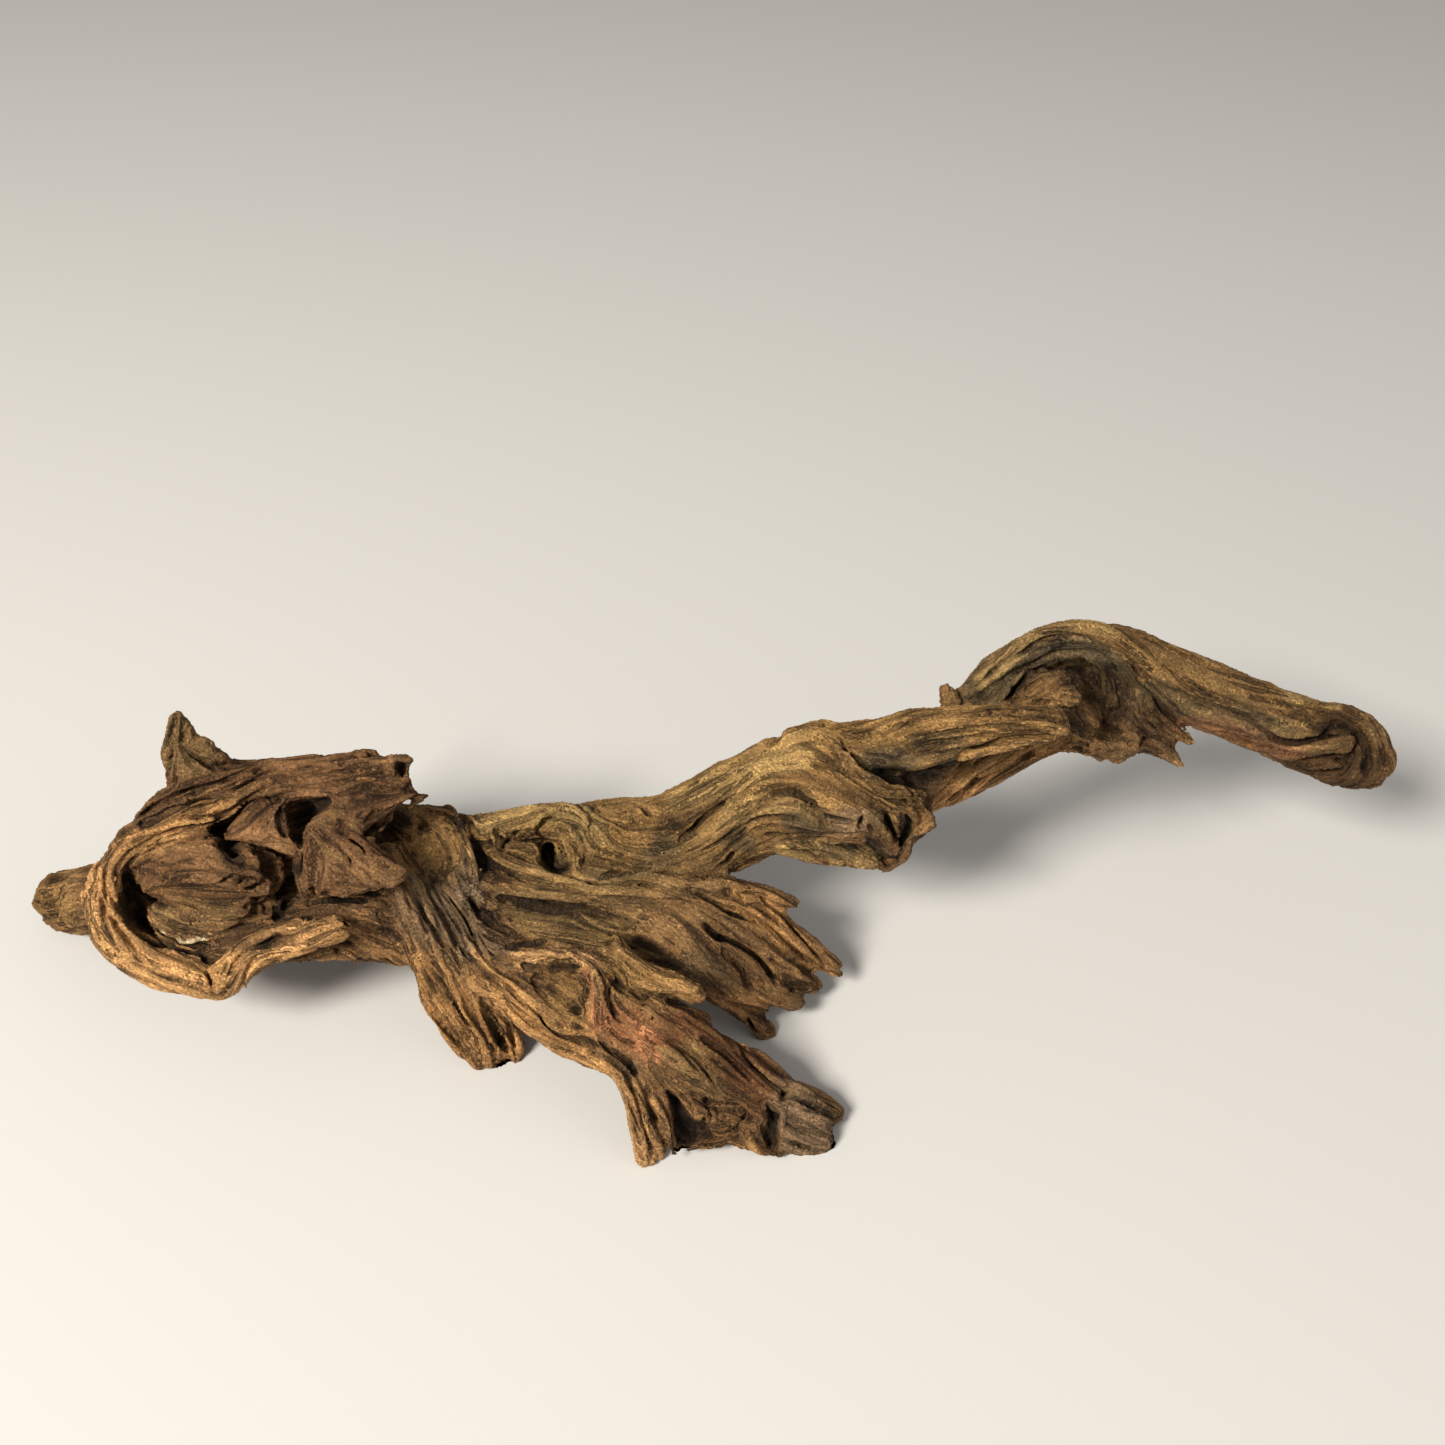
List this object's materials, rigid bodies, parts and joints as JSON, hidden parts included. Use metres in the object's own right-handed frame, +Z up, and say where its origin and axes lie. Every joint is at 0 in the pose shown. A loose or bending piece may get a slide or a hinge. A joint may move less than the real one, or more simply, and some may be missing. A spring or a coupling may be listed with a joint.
{
  "type": "driftwood branch",
  "caption": "Long gnarled piece of driftwood with a hollow burl at one end, a hooked limb at the other and splayed roots it stands on.",
  "frame": {"origin": "on the ground under the middle of the wood's box", "axes": "+X along the wood's length towards the hooked limb, +Y away from the face with the roots, +Z up"},
  "size_m": [0.6846, 0.1827, 0.1802],
  "materials": {
    "heartwood": "dry weathered reddish brown wood, matte",
    "sapwood": "dry weathered ochre wood, matte"
  },
  "bodies": {
    "root": {"burl": "heartwood", "trunk": "sapwood", "middle_root": "heartwood", "front_root": "heartwood", "broken_limb": "sapwood", "hooked_limb": "sapwood", "small_root": "heartwood", "rear_root": "heartwood"}
  },
  "joints": []
}
